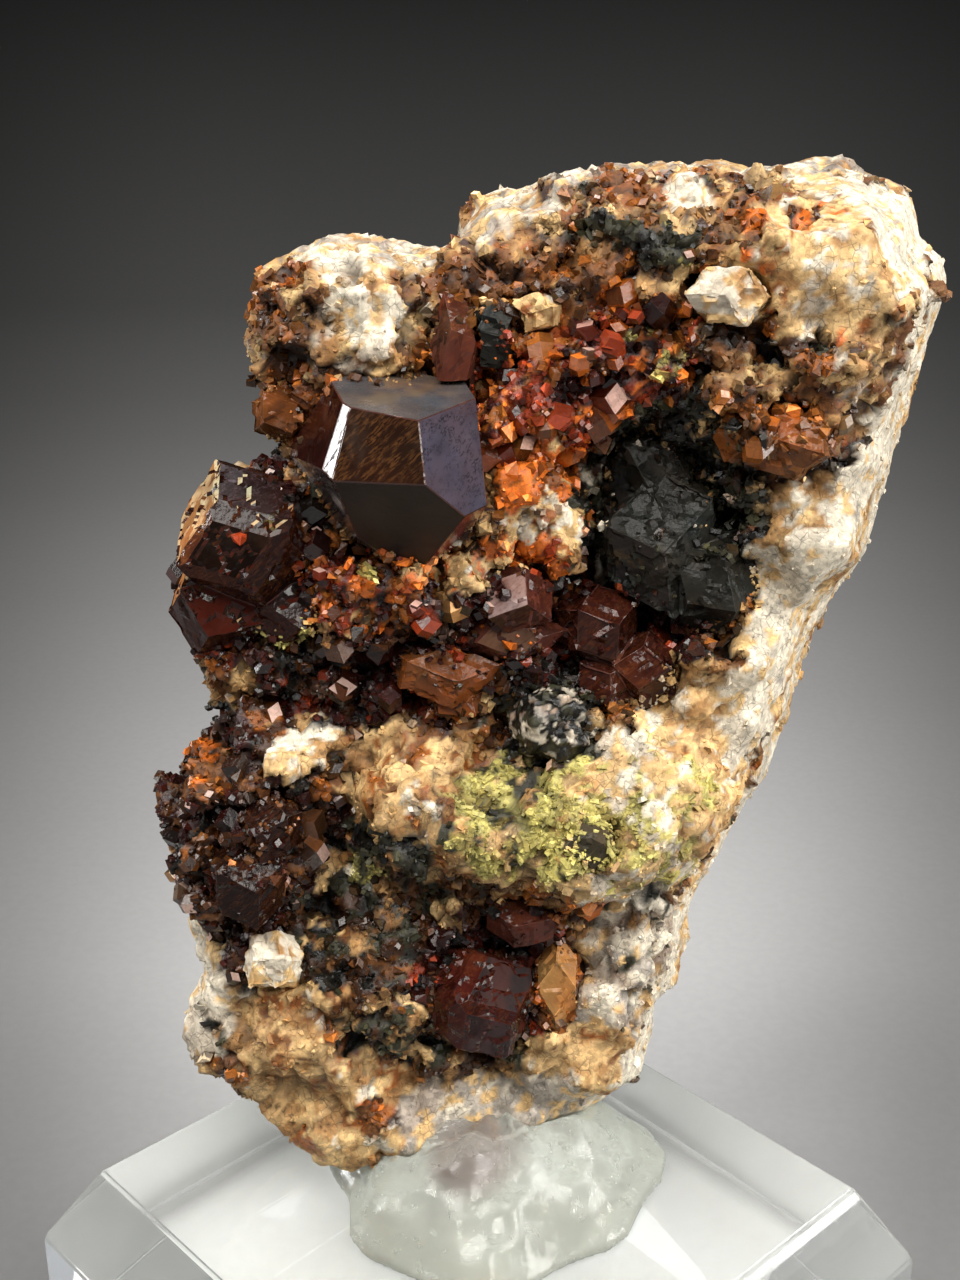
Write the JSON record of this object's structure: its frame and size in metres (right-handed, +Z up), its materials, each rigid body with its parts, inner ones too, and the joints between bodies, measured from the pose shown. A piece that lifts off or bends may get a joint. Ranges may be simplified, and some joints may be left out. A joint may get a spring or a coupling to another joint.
{
  "type": "mounted garnet specimen",
  "caption": "Upright slab of rock set with dark red garnet crystals round a crystal-lined hollow, fixed by clear putty on a bevelled clear block.",
  "frame": {"origin": "centre of the block's underside", "axes": "+Z up, +X to the right as seen from the crystal side, +Y from the crystal side towards the back"},
  "size_m": [0.0718, 0.0706, 0.096],
  "materials": {
    "acrylic": "clear polished acrylic",
    "putty": "clear glossy mineral putty",
    "rock": "rough broken calcite and garnet rock",
    "garnet": "glassy dark red-brown crystal",
    "amber_garnet": "glassy amber-orange crystal",
    "red_druse": "glittering crust of small red-orange garnets",
    "pyroxene": "glossy green-black crystal",
    "feldspar": "pale cleaved crystal",
    "calcite": "sugary cream calcite"
  },
  "bodies": {
    "root": {"base_block": "acrylic", "mounting_putty": "putty", "matrix": "rock", "druse_crust": "red_druse", "calcite_mound": "calcite", "pyroxene_globule": "pyroxene", "garnet_main": "garnet", "garnet_left_cluster": "garnet", "garnet_amber_pair": "amber_garnet", "garnet_upper_blade": "garnet", "garnet_lavender": "garnet", "garnet_red_cluster": "garnet", "garnet_ribbed": "amber_garnet", "garnet_amber_right": "amber_garnet", "garnet_lower": "garnet", "garnet_lower_small": "garnet", "garnet_orange_base": "amber_garnet", "garnet_lower_left": "garnet", "pyroxene_cluster": "pyroxene", "pyroxene_upper": "pyroxene", "pyroxene_ridge": "pyroxene", "feldspar_upper": "feldspar", "feldspar_small": "feldspar", "feldspar_lower": "feldspar"}
  },
  "joints": []
}
